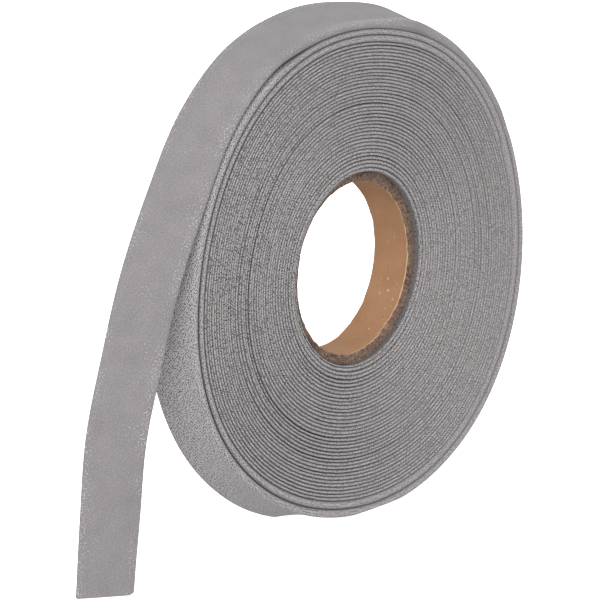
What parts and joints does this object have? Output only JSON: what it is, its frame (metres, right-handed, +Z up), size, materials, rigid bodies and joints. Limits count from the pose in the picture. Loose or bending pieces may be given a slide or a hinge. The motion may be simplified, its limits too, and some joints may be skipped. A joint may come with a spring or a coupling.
{
  "type": "roll of bias tape",
  "caption": "Roll of folded woven tape on a short cardboard core, standing on its rim with the loose end hanging down beside it.",
  "frame": {"origin": "on the small flat spot under the roll, straight below the roll's centre, on the surface it stands on", "axes": "+Z up, the roll's axis and the tape's width along Y with the front face towards -Y, +X to the right of someone who looks at that face, and the loose end hanging on the -X side"},
  "size_m": [0.1406, 0.013, 0.1089],
  "materials": {
    "tape": "matt plain-woven cotton cut on the bias, warm grey",
    "core": "uncoated brown cardboard"
  },
  "bodies": {
    "root": {"core": "core", "wound_tape": "tape", "loose_end": "tape"}
  },
  "joints": []
}
